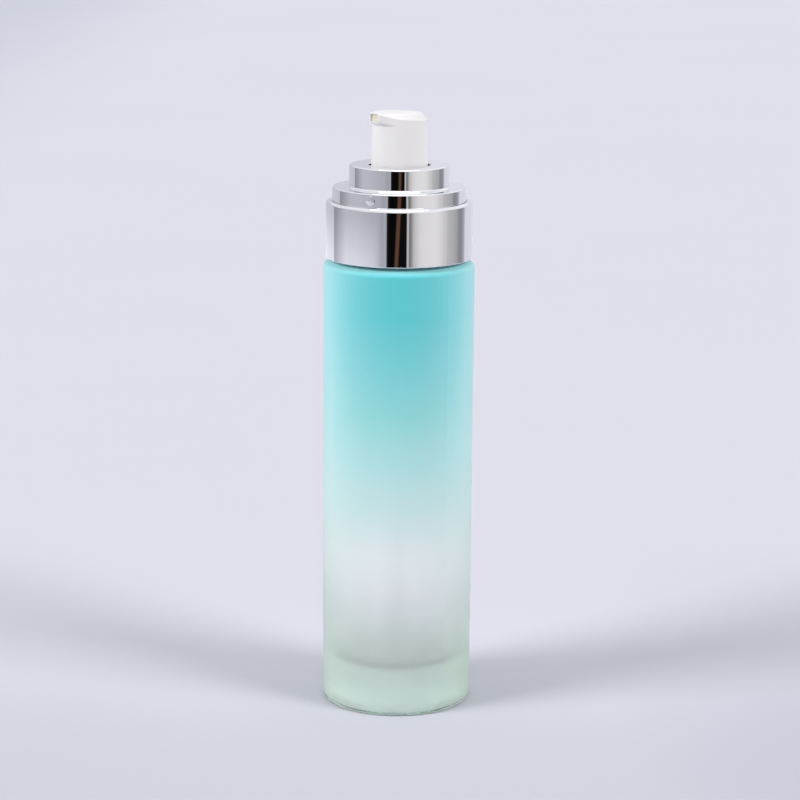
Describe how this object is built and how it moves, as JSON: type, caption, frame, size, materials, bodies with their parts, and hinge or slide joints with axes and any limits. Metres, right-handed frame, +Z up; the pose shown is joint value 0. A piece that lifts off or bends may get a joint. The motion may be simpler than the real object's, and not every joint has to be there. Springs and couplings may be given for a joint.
{
  "type": "pump bottle",
  "caption": "Tall cylindrical glass cosmetic bottle with satin turquoise lacquer, stepped bright collar and a white swivelling treatment pump on a screw closure.",
  "frame": {"origin": "centre of the foot of the glass, on the surface that the bottle stands on", "axes": "+Z up along the bottle's axis, -Y the way the spout points at rest, X across"},
  "size_m": [0.04, 0.04, 0.1591],
  "materials": {
    "lacquered_glass": "satin turquoise lacquer fading to frosted clear at the foot",
    "bright_metal": "bright anodised, mirror-like",
    "white_plastic": "semi-gloss white",
    "natural_plastic": "natural polypropylene",
    "piston_plastic": "low-friction polyethylene",
    "seal_foam": "soft white washer",
    "soft_seal": "soft elastomer",
    "cream_seal": "cream silicone, satin",
    "tube_plastic": "translucent polyethylene tube",
    "spring_steel": "drawn stainless wire",
    "ball_steel": "polished stainless ball"
  },
  "bodies": {
    "bottle": {"glass_bottle": "lacquered_glass"},
    "pump_body": {"pump_housing": "natural_plastic", "lock_ring": "natural_plastic", "stem_seal": "soft_seal", "neck_gasket": "seal_foam", "ball_cage": "natural_plastic", "dip_tube": "tube_plastic"},
    "closure": {"screw_closure": "natural_plastic", "collar_cover": "bright_metal", "shoulder_sleeve": "bright_metal"},
    "inlet_valve": {"inlet_ball": "ball_steel"},
    "plunger": {"stem": "natural_plastic", "valve_pin": "natural_plastic", "return_spring": "spring_steel"},
    "piston": {"piston": "piston_plastic"},
    "head": {"pump_head": "white_plastic", "nozzle_insert": "cream_seal"}
  },
  "joints": [
    {"name": "closure_turn", "type": "hinge", "parent": "pump_body", "child": "closure", "pos_m": [0, 0, 0.1298], "axis": [0, 0, 1], "range_deg": [0, 541]},
    {"name": "pump_rise", "type": "slide", "parent": "bottle", "child": "pump_body", "axis": [0, 0, 1], "range_m": [0, 0.00476]},
    {"name": "pump_stroke", "type": "slide", "parent": "pump_body", "child": "plunger", "axis": [0, 0, -1], "range_m": [0, 0.006], "stiffness_N_per_m": 500, "springref_m": -0.008, "deforming": ["return_spring"]},
    {"name": "head_swivel", "type": "hinge", "parent": "plunger", "child": "head", "pos_m": [0, 0, 0.149], "axis": [0, 0, 1], "continuous": true},
    {"name": "piston_float", "type": "slide", "parent": "plunger", "child": "piston", "axis": [0, 0, 1], "range_m": [0, 0.00095]},
    {"name": "ball_lift", "type": "slide", "parent": "pump_body", "child": "inlet_valve", "axis": [0, 0, 1], "range_m": [0, 0.0012]}
  ],
  "couplings": [
    {"joint": "closure_turn", "follows": "pump_rise", "rad_per_m": 1979}
  ]
}
